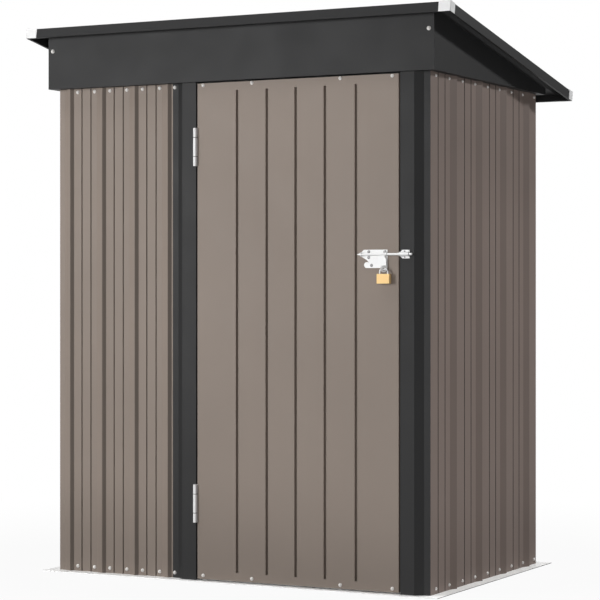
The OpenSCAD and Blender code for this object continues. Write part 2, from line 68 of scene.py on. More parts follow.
# Paint of the sheets and of the inner frame: roughness range and specular level
PAINT_ROUGH = (0.46, 0.54)
PAINT_SHINE = 0.13
FRAME_ROUGH = (0.52, 0.62)
FRAME_SHINE = 0.2

# Painted shade on the sheets, darker towards the ground: share at the ground, height where it ends, and
# tone beside the paint
GROUND_SHADE_SHARE = 0.28
GROUND_SHADE_TOP = 0.36
GROUND_SHADE_TONE = 0.45

# Painted shade in the folds of a sheet, on faces told by how squarely they face outwards:
# where the painted shade is full, where it ends, its share, and its tone beside the paint
FRONT_FOLD_SHADE = ((0.78, 0.88, 0.55, 0.3),)
SIDE_FOLD_SHADE = ((0.78, 0.88, 0.97, 0.05), (0.95, 0.985, 0.36, 0.3))

# Painted shade on the cut edges of the base rails that face the sides,
# and painted shade in the gaps between the hinge knuckles
RAIL_EDGE_SHADE = (0.25, 0.25, 0.25)
KNUCKLE_GAP_SHADE = (0.08, 0.08, 0.08)
GAP_SHADE_CORE = 0.0005
GAP_SHADE_EDGE = 0.0013

# Bolt: the washer in metres, the head and its recess as shares of the head's radius and height,
# and the turns that set neighbouring heads apart
BOLT_SIDES = 16
WASHER_WALL = 0.0012
WASHER_BEVEL = 0.0005
WASHER_CROWN = 0.0004
HEAD_WALL = 0.45
HEAD_DOME = ((0.12, 0.25), (0.2, 0.2), (0.2, 0.1))
RECESS_RIM = 0.06
RECESS_PINCH = 0.45
RECESS_DEPTH = 0.4
SIDES_PER_ARM = 4
FIRST_TURN = 0.4
NEXT_TURN = 0.9
SHARP_EDGE = math.radians(35)

# Places of bolts and screws that follow one piece only
FLANGE_SKIN = 0.0012
FLANGE_MARGIN = 0.0015
SHEET_MARGIN = 0.01
FASCIA_END = 0.017
FASCIA_UP = 0.123
PLATE_SKIN = 0.002
PLATE_SCREWS = ((0.026, 0.0317), (0.0352, 0.0079), (0.026, 0.0489), (0.0794, 0.049))
EAR_SKIN = 0.0016
EAR_SCREW = 0.004

# White screen behind the shed, as angles from the camera's direction
SCREEN_FULL = math.radians(26)
SCREEN_END = math.radians(40)

# Floor: half its width, its grey, how far out it starts and ends to turn white,
# and the share of white near the shed, inside it and how wide the change is
FLOOR_HALF = 30
FLOOR_GREY = 0.4
FLOOR_NEAR = 0.9
FLOOR_FAR = 2.6
NEAR_WHITE = 0.94
INSIDE_WHITE = 0.05
INSIDE_EDGE = 0.02

# Lights: place, target, size as width and height or as a disk, and the setting of the power
LIGHTS = {
    "front_softbox": ((-2.75, -5.1, 1.75), (0.0, -0.45, 1.15), (1.5, 2.3), "key"),
    "side_lamp": ((4.635, 3.707, 3.736), (0.66, 0.0, 1.2), 0.6, "side"),
    "top_softbox": ((-3.4, -2.5, 9.0), (-0.1, -0.5, 0.2), (3.6, 3.6), "top"),
    "rear_softbox": ((1.6, 0.8, 6.5), (0.68, 0.0, 0.0), (1.0, 1.0), "rear"),
    "fill_softbox": ((3.5, -6.0, 1.4), (0.6, -0.3, 0.9), (2.0, 2.0), "fill"),
}
SENSOR = 36
CLIP_END = 200

# Turns of a bolt, made along +Z, to the side of the shed that it faces
FACING = {
    "front": Matrix.Rotation(math.radians(90), 4, "X"),
    "back": Matrix.Rotation(math.radians(-90), 4, "X"),
    "right": Matrix.Rotation(math.radians(90), 4, "Y"),
    "left": Matrix.Rotation(math.radians(-90), 4, "Y"),
}


class ShedColours(bpy.types.PropertyGroup):
    """Colours of the shed's finishes."""
    sheet: FloatVectorProperty(
        name="Sheet paint", description="Taupe paint of the front, back and door",
        subtype="COLOR", size=3, min=0, max=1, default=(0.234, 0.194, 0.166))
    # Painted light: a copy of the taupe paint, a shade redder, for how light falls on the side walls
    side: FloatVectorProperty(
        name="Side sheet paint", description="Taupe paint of the side walls, a shade redder",
        subtype="COLOR", size=3, min=0, max=1, default=(0.247, 0.196, 0.173))
    trim: FloatVectorProperty(
        name="Trim paint", description="Dark paint of the posts, fascias, roof and inner frame",
        subtype="COLOR", size=3, min=0, max=1, default=(0.027, 0.027, 0.0275))
    rail: FloatVectorProperty(
        name="Base rail", description="Galvanised base rails",
        subtype="COLOR", size=3, min=0, max=1, default=(0.96, 0.96, 0.95))
    cap: FloatVectorProperty(
        name="Corner cap", description="White moulded corner caps",
        subtype="COLOR", size=3, min=0, max=1, default=(0.74, 0.74, 0.74))
    zinc: FloatVectorProperty(
        name="Zinc plate", description="Plated hinges and latch",
        subtype="COLOR", size=3, min=0, max=1, default=(0.76, 0.76, 0.76))
    bolt: FloatVectorProperty(
        name="Bolts", description="Plated bolt heads and washers",
        subtype="COLOR", size=3, min=0, max=1, default=(0.70, 0.68, 0.66))
    chrome: FloatVectorProperty(
        name="Shackle", description="Polished shackle of the padlock",
        subtype="COLOR", size=3, min=0, max=1, default=(0.55, 0.55, 0.56))
    screw: FloatVectorProperty(
        name="Screws", description="Dull steel of the latch screws",
        subtype="COLOR", size=3, min=0, max=1, default=(0.28, 0.28, 0.28))
    brass: FloatVectorProperty(
        name="Brass", description="Satin brass of the padlock",
        subtype="COLOR", size=3, min=0, max=1, default=(0.80, 0.57, 0.27))


class ShedBolts(bpy.types.PropertyGroup):
    """Sizes and places of the bolt heads."""
    washer: FloatProperty(
        name="Washer radius", description="Radius of the washer under a bolt head",
        unit="LENGTH", default=0.0057)
    head: FloatProperty(
        name="Head radius", description="Radius of a bolt head",
        unit="LENGTH", default=0.0044)
    rise: FloatProperty(
        name="Head height", description="Height of a bolt head over its washer",
        unit="LENGTH", default=0.0032)
    fascia: FloatProperty(
        name="Fascia bolt size", description="Size of the fascia bolts beside the front ones",
        default=1.15)
    side: FloatProperty(
        name="Side bolt size", description="Size of the side and back bolts beside the front ones",
        default=0.86)
    top_row: FloatProperty(
        name="Top row", description="Drop of the top row below the top of the sheets",
        unit="LENGTH", default=0.011)
    low_row: FloatProperty(
        name="Low row", description="Height of the bottom row above the foot of the sheets",
        unit="LENGTH", default=0.016)
    rib: FloatProperty(
        name="Rib height", description="Height of the wall ribs over the flat of the sheet",
        unit="LENGTH", default=0.009)
    front_foot: FloatProperty(
        name="First front rib", description="First rib foot from the front wall's left edge",
        unit="LENGTH", default=0.0545)
    front_pitch: FloatProperty(
        name="Front pitch", description="Spacing of the ribs on the front wall",
        unit="LENGTH", default=0.123)
    front_near: FloatProperty(
        name="Front bolt", description="First bolt after a rib foot on the front wall",
        unit="LENGTH", default=0.015)
    front_far: FloatProperty(
        name="Second front bolt", description="Second bolt after a rib foot on the front wall",
        unit="LENGTH", default=0.079)
    side_foot: FloatProperty(
        name="First side rib", description="First rib foot from the leading edge of a side wall",
        unit="LENGTH", default=-0.0075)
    side_pitch: FloatProperty(
        name="Side pitch", description="Spacing of the ribs on the side and back walls",
        unit="LENGTH", default=0.2015)
    side_near: FloatProperty(
        name="Side bolt", description="First bolt after a rib foot on a side wall",
        unit="LENGTH", default=0.047)
    side_far: FloatProperty(
        name="Second side bolt", description="Second bolt after a rib foot on a side wall",
        unit="LENGTH", default=0.1465)
    door_inner: FloatProperty(
        name="Inner door bolts", description="Inner door bolts from the middle of the door",
        unit="LENGTH", default=0.153)
    door_outer: FloatProperty(
        name="Outer door bolts", description="Outer door bolts from the middle of the door",
        unit="LENGTH", default=0.327)


class ShedStudio(bpy.types.PropertyGroup):
    """Camera, lights and room."""
    eye: FloatVectorProperty(
        name="Camera place", description="Place of the camera",
        subtype="TRANSLATION", unit="LENGTH", size=3, default=(3.2495, -6.2843, 0.9048))
    yaw: FloatProperty(
        name="Camera yaw", description="Turn of the camera to the left of the shed's depth",
        subtype="ANGLE", default=math.radians(27.445))
    lens: FloatProperty(
        name="Lens", description="Focal length on the camera's sensor",
        unit="CAMERA", default=128.27)
    shift: FloatProperty(
        name="Shift", description="Upward shift of the camera's frame",
        default=-0.0122)
    key: FloatProperty(
        name="Front light", description="Power of the tall soft light at the front left",
        unit="POWER", default=205)
    side: FloatProperty(
        name="Side light", description="Power of the light at the right and behind",
        unit="POWER", default=155)
    top: FloatProperty(
        name="Top light", description="Power of the soft light above the front left",
        unit="POWER", default=400)
    fill: FloatProperty(
        name="Fill light", description="Power of the wide light beside the camera",
        unit="POWER", default=108)
    rear: FloatProperty(
        name="Rear top light", description="Power of the light above the right side",
        unit="POWER", default=185)
    room: FloatProperty(
        name="Room light", description="Strength of the even light of the room",
        default=0.03)
    walls: FloatProperty(
        name="Room walls", description="Brightness of the room that polished metal mirrors",
        default=0.12)


def start_finish(name):
    """Starts a node material and returns it with its nodes, links, shader and place."""
    finish = bpy.data.materials.new(name)
    finish.use_nodes = True
    nodes = finish.node_tree.nodes
    shader = nodes["Principled BSDF"]
    place = nodes.new("ShaderNodeTexCoord").outputs["Object"]
    return finish, nodes, finish.node_tree.links, shader, place


def cloud(nodes, links, place, scale, detail=3.0, stretch=(1, 1, 1)):
    """Adds a noise pattern of the given scale per metre and returns its value."""
    turn = nodes.new("ShaderNodeMapping")
    turn.inputs["Scale"].default_value = stretch
    pattern = nodes.new("ShaderNodeTexNoise")
    pattern.inputs["Scale"].default_value = scale
    pattern.inputs["Detail"].default_value = detail
    links.new(place, turn.inputs["Vector"])
    links.new(turn.outputs["Vector"], pattern.inputs["Vector"])
    return pattern.outputs["Fac"]


def spread(nodes, links, value, low, high):
    """Stretches a pattern's middle range to run from low to high."""
    span = nodes.new("ShaderNodeMapRange")
    for name, setting in (("From Min", 0.3), ("From Max", 0.7), ("To Min", low), ("To Max", high)):
        span.inputs[name].default_value = setting
    links.new(value, span.inputs["Value"])
    return span.outputs["Result"]


def ramp(nodes, links, value, start, end, low, high):
    """Runs smoothly from low at the start of a value's range to high at its end."""
    span = nodes.new("ShaderNodeMapRange")
    span.interpolation_type = "SMOOTHSTEP"
    for name, setting in (("From Min", start), ("From Max", end), ("To Min", low), ("To Max", high)):
        span.inputs[name].default_value = setting
    links.new(value, span.inputs["Value"])
    return span.outputs["Result"]


def reckon(nodes, links, operation, first, second=0.0):
    """Works out a maths operation on sockets or plain numbers."""
    step = nodes.new("ShaderNodeMath")
    step.operation = operation
    for socket, value in zip(step.inputs, (first, second)):
        if isinstance(value, (int, float)):
            socket.default_value = value
        else:
            links.new(value, socket)
    return step.outputs[0]


def axes_of(nodes, links, vector):
    """Splits a vector and returns its three outputs, named by axis."""
    split = nodes.new("ShaderNodeSeparateXYZ")
    links.new(vector, split.inputs["Vector"])
    return split.outputs


def squareness(nodes, links, axis):
    """Tells how squarely a face looks along an axis, either way: 1 for full square, 0 for edge on."""
    normal = nodes.new("ShaderNodeNewGeometry").outputs["True Normal"]
    return reckon(nodes, links, "ABSOLUTE", axes_of(nodes, links, normal)[axis])


def vary(nodes, links, value, colour, dark, light):
    """Mixes a darker and a lighter tone of a colour by a pattern."""
    mix = nodes.new("ShaderNodeMix")
    mix.data_type = "RGBA"
    mix.inputs[MIX_UNDER].default_value = [c * dark for c in colour] + [1]
    mix.inputs[MIX_OVER].default_value = [min(c * light, 1) for c in colour] + [1]
    links.new(value, mix.inputs[MIX_SHARE])
    return mix.outputs[MIX_RESULT]


def cover(nodes, links, share, under, colour):
    """Lays a plain colour over another by a share."""
    mix = nodes.new("ShaderNodeMix")
    mix.data_type = "RGBA"
    links.new(share, mix.inputs[MIX_SHARE])
    links.new(under, mix.inputs[MIX_UNDER])
    mix.inputs[MIX_OVER].default_value = (*colour, 1)
    return mix.outputs[MIX_RESULT]


def press(nodes, links, shader, value, depth):
    """Lays a pattern on the surface as a bump of the given depth in metres."""
    bump = nodes.new("ShaderNodeBump")
    bump.inputs["Distance"].default_value = depth
    links.new(value, bump.inputs["Height"])
    links.new(bump.outputs["Normal"], shader.inputs["Normal"])


def paint(name, colour, rough, shine, ground_shade=0.0, facing=None, fold_shade=()):
    """Sprayed paint: faint clouds of tone, a fine orange peel, and painted shade low down and on the steep
    flanks.
    """
    finish, nodes, links, shader, place = start_finish(name)
    tone = spread(nodes, links, cloud(nodes, links, place, scale=2.3), low=0, high=1)
    skin = vary(nodes, links, tone, colour, dark=0.96, light=1.04)
    # Painted shade: the sheets darken towards the ground, broken up by a cloud
    if ground_shade:
        height = axes_of(nodes, links, place)["Z"]
        low = ramp(nodes, links, height, start=0, end=GROUND_SHADE_TOP, low=ground_shade, high=0)
        shade_cloud = spread(nodes, links, cloud(nodes, links, place, scale=6), low=0.85, high=1.15)
        share = reckon(nodes, links, "MULTIPLY", low, shade_cloud)
        skin = cover(nodes, links, share, skin, [c * GROUND_SHADE_TONE for c in colour])
    # Painted shade on the steep flanks of ribs and grooves, picked out by the direction of the face
    if facing:
        square = squareness(nodes, links, facing)
        for full, none, most, dim in fold_shade:
            share = ramp(nodes, links, square, start=full, end=none, low=most, high=0)
            skin = cover(nodes, links, share, skin, [c * dim for c in colour])
    links.new(skin, shader.inputs["Base Color"])
    patch = cloud(nodes, links, place, scale=9)
    links.new(spread(nodes, links, patch, *rough), shader.inputs["Roughness"])
    press(nodes, links, shader, cloud(nodes, links, place, scale=420, detail=2), depth=0.00012)
    shader.inputs["Specular IOR Level"].default_value = shine
    return finish


def spangle(name, colour):
    """Galvanised steel: a spangle of crystals, and painted shade on the cut edges that face the sides."""
    finish, nodes, links, shader, place = start_finish(name)
    cells = nodes.new("ShaderNodeTexVoronoi")
    cells.inputs["Scale"].default_value = 90
    links.new(place, cells.inputs["Vector"])
    tone = nodes.new("ShaderNodeSeparateColor")
    links.new(cells.outputs["Color"], tone.inputs["Color"])
    skin = vary(nodes, links, tone.outputs["Red"], colour, dark=0.93, light=1.05)
    # Painted shade on the faces that look along X, the cut edges at the sides
    edge = ramp(nodes, links, squareness(nodes, links, "X"), start=0.3, end=0.7, low=0, high=1)
    links.new(cover(nodes, links, edge, skin, RAIL_EDGE_SHADE), shader.inputs["Base Color"])
    gloss = spread(nodes, links, tone.outputs["Green"], low=0.4, high=0.55)
    links.new(gloss, shader.inputs["Roughness"])
    shader.inputs["Metallic"].default_value = 0.04
    press(nodes, links, shader, cloud(nodes, links, place, scale=300, detail=2), depth=0.0001)
    return finish


def moulded(name, colour):
    """Moulded white plastic with a fine grain."""
    finish, nodes, links, shader, place = start_finish(name)
    tone = spread(nodes, links, cloud(nodes, links, place, scale=14), low=0, high=1)
    links.new(vary(nodes, links, tone, colour, dark=0.98, light=1.02), shader.inputs["Base Color"])
    gloss = spread(nodes, links, cloud(nodes, links, place, scale=40), low=0.42, high=0.55)
    links.new(gloss, shader.inputs["Roughness"])
    press(nodes, links, shader, cloud(nodes, links, place, scale=700, detail=2), depth=0.00008)
    return finish


def plated(name, colour, rough, stretch, metal, mirrors=()):
    """Plated metal: fine lines along the work, cloudy gloss, and painted shade in the knuckle gaps found by
    mirroring heights.
    """
    finish, nodes, links, shader, place = start_finish(name)
    lines = cloud(nodes, links, place, scale=60, detail=4, stretch=stretch)
    tone = spread(nodes, links, lines, low=0, high=1)
    skin = vary(nodes, links, tone, colour, dark=0.93, light=1.05)
    # Painted shade in the gaps between the hinge knuckles
    if mirrors:
        off = axes_of(nodes, links, place)["Z"]
        for height in mirrors:
            off = reckon(nodes, links, "ABSOLUTE", reckon(nodes, links, "SUBTRACT", off, height))
        gap_shade = ramp(nodes, links, off, start=GAP_SHADE_CORE, end=GAP_SHADE_EDGE, low=1, high=0)
        skin = cover(nodes, links, gap_shade, skin, KNUCKLE_GAP_SHADE)
    links.new(skin, shader.inputs["Base Color"])
    links.new(spread(nodes, links, lines, *rough), shader.inputs["Roughness"])
    shader.inputs["Metallic"].default_value = metal
    press(nodes, links, shader, lines, depth=0.00005)
    return finish


def dress(finish, *names):
    """Gives CAD pieces their finish."""
    for name in names:
        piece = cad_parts[name]
        if not piece.material_slots:
            piece.data.materials.append(finish)
        for hold in piece.material_slots:
            hold.material = finish


def add_piece(name, shape, finish, body):
    """Turns a bmesh into a finished piece that rides on a body."""
    mesh = bpy.data.meshes.new(name)
    shape.to_mesh(mesh)
    shape.free()
    mesh.materials.append(finish)
    mesh.shade_smooth()
    mesh.set_sharp_from_angle(angle=SHARP_EDGE)
    piece = bpy.data.objects.new(name, mesh)
    bpy.context.scene.collection.objects.link(piece)
    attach(piece, body)


def raise_face(shape, face, height, closed=False):
    """Pulls a face up along its normal and returns the moved face."""
    up = face.normal.copy()
    grown = bmesh.ops.extrude_face_region(shape, geom=[face])["geom"]
    top = [item for item in grown if isinstance(item, bmesh.types.BMFace)][0]
    bmesh.ops.translate(shape, verts=top.verts, vec=up * height)
    if not closed:
        bmesh.ops.delete(shape, geom=[face], context="FACES_ONLY")
    top.normal_update()
    return top


def add_bolt(shape, place, bolts):
    """Adds a domed bolt head with a cross recess, on its washer, to a bmesh."""
    before = set(shape.verts)
    ring = bmesh.ops.create_circle(shape, cap_ends=True, segments=BOLT_SIDES, radius=bolts.washer)
    face = ring["verts"][0].link_faces[0]
    face.normal_update()
    if face.normal.z < 0:
        face.normal_flip()
    face = raise_face(shape, face, WASHER_WALL, closed=True)
    ledge = bolts.washer - bolts.head - WASHER_BEVEL
    bmesh.ops.inset_region(shape, faces=[face], thickness=WASHER_BEVEL, depth=WASHER_CROWN)
    bmesh.ops.inset_region(shape, faces=[face], thickness=ledge)
    face = raise_face(shape, face, bolts.rise * HEAD_WALL)
    for step, lift in HEAD_DOME:
        bmesh.ops.inset_region(
            shape, faces=[face], thickness=bolts.head * step, depth=bolts.rise * lift)
    bmesh.ops.inset_region(shape, faces=[face], thickness=bolts.head * RECESS_RIM)
    middle = face.calc_center_median()
    for number, vert in enumerate(face.verts):
        if number % SIDES_PER_ARM:
            vert.co = middle + (vert.co - middle) * RECESS_PINCH
    raise_face(shape, face, -bolts.rise * RECESS_DEPTH)
    fresh = [vert for vert in shape.verts if vert not in before]
    faces = list({face for vert in fresh for face in vert.link_faces})
    bmesh.ops.recalc_face_normals(shape, faces=faces)
    bmesh.ops.transform(shape, matrix=place, verts=fresh)


def bolt_group(name, spots, facing, body, size=1.0, height=1.0, finish="bolt_plate"):
    """Makes one piece of the bolt heads at the given spots, sized and flattened beside a front bolt."""
    bolts = bpy.context.scene.shed_bolts
    scale = Matrix.Diagonal((size, size, size * height, 1))
    shape = bmesh.new()
    for number, spot in enumerate(spots):
        spin = Matrix.Rotation(FIRST_TURN + NEXT_TURN * number, 4, "Z") @ scale
        add_bolt(shape, Matrix.Translation(spot) @ FACING[facing] @ spin, bolts)
    add_piece(name, shape, bpy.data.materials[finish], body)


def bolt_run(first, pitch, near, far, length, margin):
    """Lists the places of the bolts along a ribbed sheet."""
    run = []
    foot = first
    while foot < length:
        run += [foot + near, foot + far]
        foot += pitch
    return [along for along in run if margin < along < length - margin]


def side_run(bolts, length):
    """Lists the places of the bolts along a side or back wall."""
    return bolt_run(bolts.side_foot, bolts.side_pitch, bolts.side_near, bolts.side_far,
                    length, SHEET_MARGIN)


def bolt_rows(bolts):
    """Heights of the top and bottom rows of bolts."""
    return (FRONT_HI.z - bolts.top_row, FRONT_LO.z + bolts.low_row)


class SHED_OT_paint_sheets(bpy.types.Operator):
    """Paints the wall sheets and the door."""
    bl_idname = "shed.paint_sheets"
    bl_label = "Paint sheets"

    def execute(self, context):
        colours = context.scene.shed_colours
        # The sheets carry painted shade towards the ground, and the walls also carry painted shade on their
        # flanks
        door = paint("taupe_paint", colours.sheet, PAINT_ROUGH, PAINT_SHINE, GROUND_SHADE_SHARE)
        front = paint("taupe_front_sheet", colours.sheet, PAINT_ROUGH, PAINT_SHINE, GROUND_SHADE_SHARE,
                      "Y", FRONT_FOLD_SHADE)
        # Side walls: a tinted copy of the taupe paint for the light on that side, with painted shade on
        # their flanks
        side = paint("taupe_side_sheet", colours.side, PAINT_ROUGH, PAINT_SHINE, GROUND_SHADE_SHARE,
                     "X", SIDE_FOLD_SHADE)
        dress(door, "door_panel")
        dress(front, "front_wall", "back_wall")
        dress(side, "left_wall", "right_wall")
        return {"FINISHED"}


class SHED_OT_paint_trim(bpy.types.Operator):
    """Paints the posts, fascias, gables, roof and its trims."""
    bl_idname = "shed.paint_trim"
    bl_label = "Paint trim"

    def execute(self, context):
        dress(paint("dark_paint", context.scene.shed_colours.trim, PAINT_ROUGH, PAINT_SHINE),
              "hinge_jamb", "latch_post", "front_fascia", "back_fascia", "left_gable", "right_gable",
              "left_roof_sheet", "middle_roof_sheet", "right_roof_sheet",
              "front_roof_trim", "back_roof_trim", "left_roof_trim", "right_roof_trim")
        return {"FINISHED"}


class SHED_OT_paint_frame(bpy.types.Operator):
    """Paints the angles, rails and channels inside."""
    bl_idname = "shed.paint_frame"
    bl_label = "Paint inner frame"

    def execute(self, context):
        dress(paint("frame_paint", context.scene.shed_colours.trim, FRAME_ROUGH, FRAME_SHINE),
              "front_left_angle", "front_right_angle", "back_left_angle", "back_right_angle",
              "front_top_rail", "back_top_rail", "left_top_rail", "right_top_rail",
              "door_top_channel", "door_bottom_channel")
        return {"FINISHED"}


class SHED_OT_finish_base(bpy.types.Operator):
    """Galvanises the base rails and whitens the corner caps."""
    bl_idname = "shed.finish_base"
    bl_label = "Finish rails and caps"

    def execute(self, context):
        colours = context.scene.shed_colours
        dress(spangle("galvanised_zinc", colours.rail),
              "front_base_rail", "back_base_rail", "left_base_rail", "right_base_rail")
        dress(moulded("white_moulding", colours.cap),
              "front_left_cap", "front_right_cap", "back_left_cap", "back_right_cap")
        return {"FINISHED"}


class SHED_OT_finish_hardware(bpy.types.Operator):
    """Plates the hinges and latch, finishes the padlock and readies the finishes of the fasteners."""
    bl_idname = "shed.finish_hardware"
    bl_label = "Finish hardware"

    def execute(self, context):
        colours = context.scene.shed_colours
        # Heights that place the painted shade between the hinge knuckles
        upper = (UPPER_LO.z + UPPER_HI.z) / 2
        lower = (LOWER_LO.z + LOWER_HI.z) / 2
        knuckle = (UPPER_HI.z - UPPER_LO.z) / 4
        mirrors = ((upper + lower) / 2, (upper - lower) / 2, knuckle)
        dress(plated("hinge_plate", colours.zinc, rough=(0.6, 0.74), stretch=(1, 1, 0.1), metal=0.5,
                     mirrors=mirrors),
              "upper_jamb_hinge", "lower_jamb_hinge", "upper_door_hinge", "lower_door_hinge")
        dress(plated("latch_plating", colours.zinc, rough=(0.55, 0.7), stretch=(0.1, 1, 1), metal=0.36),
              "latch_keeper", "latch_plate", "latch_rod")
        dress(plated("shackle_chrome", colours.chrome, rough=(0.3, 0.4), stretch=(1, 1, 1), metal=0.8),
              "padlock_shackle")
        dress(plated("satin_brass", colours.brass, rough=(0.6, 0.72), stretch=(0.15, 1, 1), metal=0.5),
              "padlock_body")
        plated("bolt_plate", colours.bolt, rough=(0.5, 0.62), stretch=(1, 1, 1), metal=0.12)
        plated("screw_steel", colours.screw, rough=(0.35, 0.5), stretch=(1, 1, 1), metal=0.6)
        return {"FINISHED"}


class SHED_OT_front_bolts(bpy.types.Operator):
    """Sets the bolts in the front wall and its jamb."""
    bl_idname = "shed.front_bolts"
    bl_label = "Front bolts"

    def execute(self, context):
        bolts = context.scene.shed_bolts
        rows = bolt_rows(bolts)
        run = bolt_run(bolts.front_foot, bolts.front_pitch, bolts.front_near, bolts.front_far,
                       JAMB_LO.x - FRONT_LO.x, bolts.washer)
        face = FRONT_LO.y + bolts.rib
        spots = [(FRONT_LO.x + along, face, z) for z in rows for along in run]
        bolt_group("front_wall_bolts", spots, "front", "shed")
        flange = (JAMB_LO.x + bolts.washer + FLANGE_MARGIN, face - FLANGE_SKIN)
        bolt_group("jamb_bolts", [(*flange, z) for z in rows], "front", "shed")
        return {"FINISHED"}


class SHED_OT_side_bolts(bpy.types.Operator):
    """Sets the bolts in the side and back walls."""
    bl_idname = "shed.side_bolts"
    bl_label = "Side and back bolts"

    def execute(self, context):
        bolts = context.scene.shed_bolts
        rows = bolt_rows(bolts)
        face = SIDE_HI.x - bolts.rib
        run = side_run(bolts, SIDE_HI.y - SIDE_LO.y)
        spots = [(face, SIDE_LO.y + along, z) for z in rows for along in run]
        bolt_group("right_wall_bolts", spots, "right", "shed", bolts.side)
        spots = [(-face, SIDE_HI.y - along, z) for z in rows for along in run]
        bolt_group("left_wall_bolts", spots, "left", "shed", bolts.side)
        face = BACK_HI.y - bolts.rib
        run = side_run(bolts, BACK_HI.x - BACK_LO.x)
        spots = [(BACK_HI.x - along, face, z) for z in rows for along in run]
        bolt_group("back_wall_bolts", spots, "back", "shed", bolts.side)
        return {"FINISHED"}


class SHED_OT_door_bolts(bpy.types.Operator):
    """Sets the bolts that hold the door's channels."""
    bl_idname = "shed.door_bolts"
    bl_label = "Door bolts"

    def execute(self, context):
        bolts = context.scene.shed_bolts
        middle = (DOOR_LO.x + DOOR_HI.x) / 2
        spots = [(middle + side * reach, DOOR_LO.y, z)
                 for z in bolt_rows(bolts)
                 for reach in (bolts.door_inner, bolts.door_outer)
                 for side in (-1, 1)]
        bolt_group("door_bolts", spots, "front", "door")
        return {"FINISHED"}


class SHED_OT_fascia_bolts(bpy.types.Operator):
    """Sets the bolts at the ends of the front fascia."""
    bl_idname = "shed.fascia_bolts"
    bl_label = "Fascia bolts"

    def execute(self, context):
        reach = FASCIA_HI.x - FASCIA_END
        spots = [(side * reach, FASCIA_LO.y, FASCIA_LO.z + FASCIA_UP) for side in (-1, 1)]
        bolt_group("fascia_bolts", spots, "front", "shed", context.scene.shed_bolts.fascia)
        return {"FINISHED"}


class SHED_OT_latch_screws(bpy.types.Operator):
    """Sets the screws in the latch plate and the keeper's ears."""
    bl_idname = "shed.latch_screws"
    bl_label = "Latch screws"

    def execute(self, context):
        face = DOOR_LO.y - PLATE_SKIN
        spots = [(PLATE_LO.x + across, face, PLATE_LO.z + up) for across, up in PLATE_SCREWS]
        bolt_group("latch_plate_screws", spots, "front", "door",
                   size=0.85, height=0.5, finish="screw_steel")
        middle = (KEEPER_LO.x + KEEPER_HI.x) / 2
        face = KEEPER_HI.y - EAR_SKIN
        spots = [(middle, face, z) for z in (KEEPER_LO.z + EAR_SCREW, KEEPER_HI.z - EAR_SCREW)]
        bolt_group("keeper_screws", spots, "front", "shed",
                   size=0.45, height=0.6, finish="screw_steel")
        return {"FINISHED"}


def aim_light(name, place, target, size, power):
    """Adds an area light at a place, turned to a target: a disk, or a width and a height."""
    lamp = bpy.data.lights.new(name, "AREA")
    if isinstance(size, tuple):
        lamp.shape = "RECTANGLE"
        lamp.size, lamp.size_y = size
    else:
        lamp.shape = "DISK"
        lamp.size = size
    lamp.energy = power
    light = bpy.data.objects.new(name, lamp)
    light.location = place
    light.rotation_euler = (Vector(target) - Vector(place)).to_track_quat("-Z", "Y").to_euler()
    bpy.context.scene.collection.objects.link(light)


def backdrop(nodes, links, way, studio):
    """Share of white for a ray: all for the camera and glass, and for mirrors that of the screen behind."""
    level = nodes.new("ShaderNodeVectorMath")
    level.operation = "MULTIPLY"
    level.inputs[1].default_value = (1, 1, 0)
    unit = nodes.new("ShaderNodeVectorMath")
    unit.operation = "NORMALIZE"
    along = nodes.new("ShaderNodeVectorMath")
    along.operation = "DOT_PRODUCT"
    along.inputs[1].default_value = (-math.sin(studio.yaw), math.cos(studio.yaw), 0)
    links.new(way, level.inputs[0])
    links.new(level.outputs["Vector"], unit.inputs[0])
    links.new(unit.outputs["Vector"], along.inputs[0])
    screen = ramp(nodes, links, along.outputs["Value"],
                  start=math.cos(SCREEN_END), end=math.cos(SCREEN_FULL), low=studio.walls, high=1)
    path = nodes.new("ShaderNodeLightPath").outputs
    mirrored = reckon(nodes, links, "MULTIPLY", path["Is Glossy Ray"], screen)
    seen = reckon(nodes, links, "MAXIMUM", path["Is Camera Ray"], path["Is Transmission Ray"])
    return reckon(nodes, links, "MAXIMUM", seen, mirrored)


def beyond(nodes, links, value, half):
    """Distance of a value past a half width, to either side."""
    away = reckon(nodes, links, "ABSOLUTE", value)
    return reckon(nodes, links, "SUBTRACT", away, half)


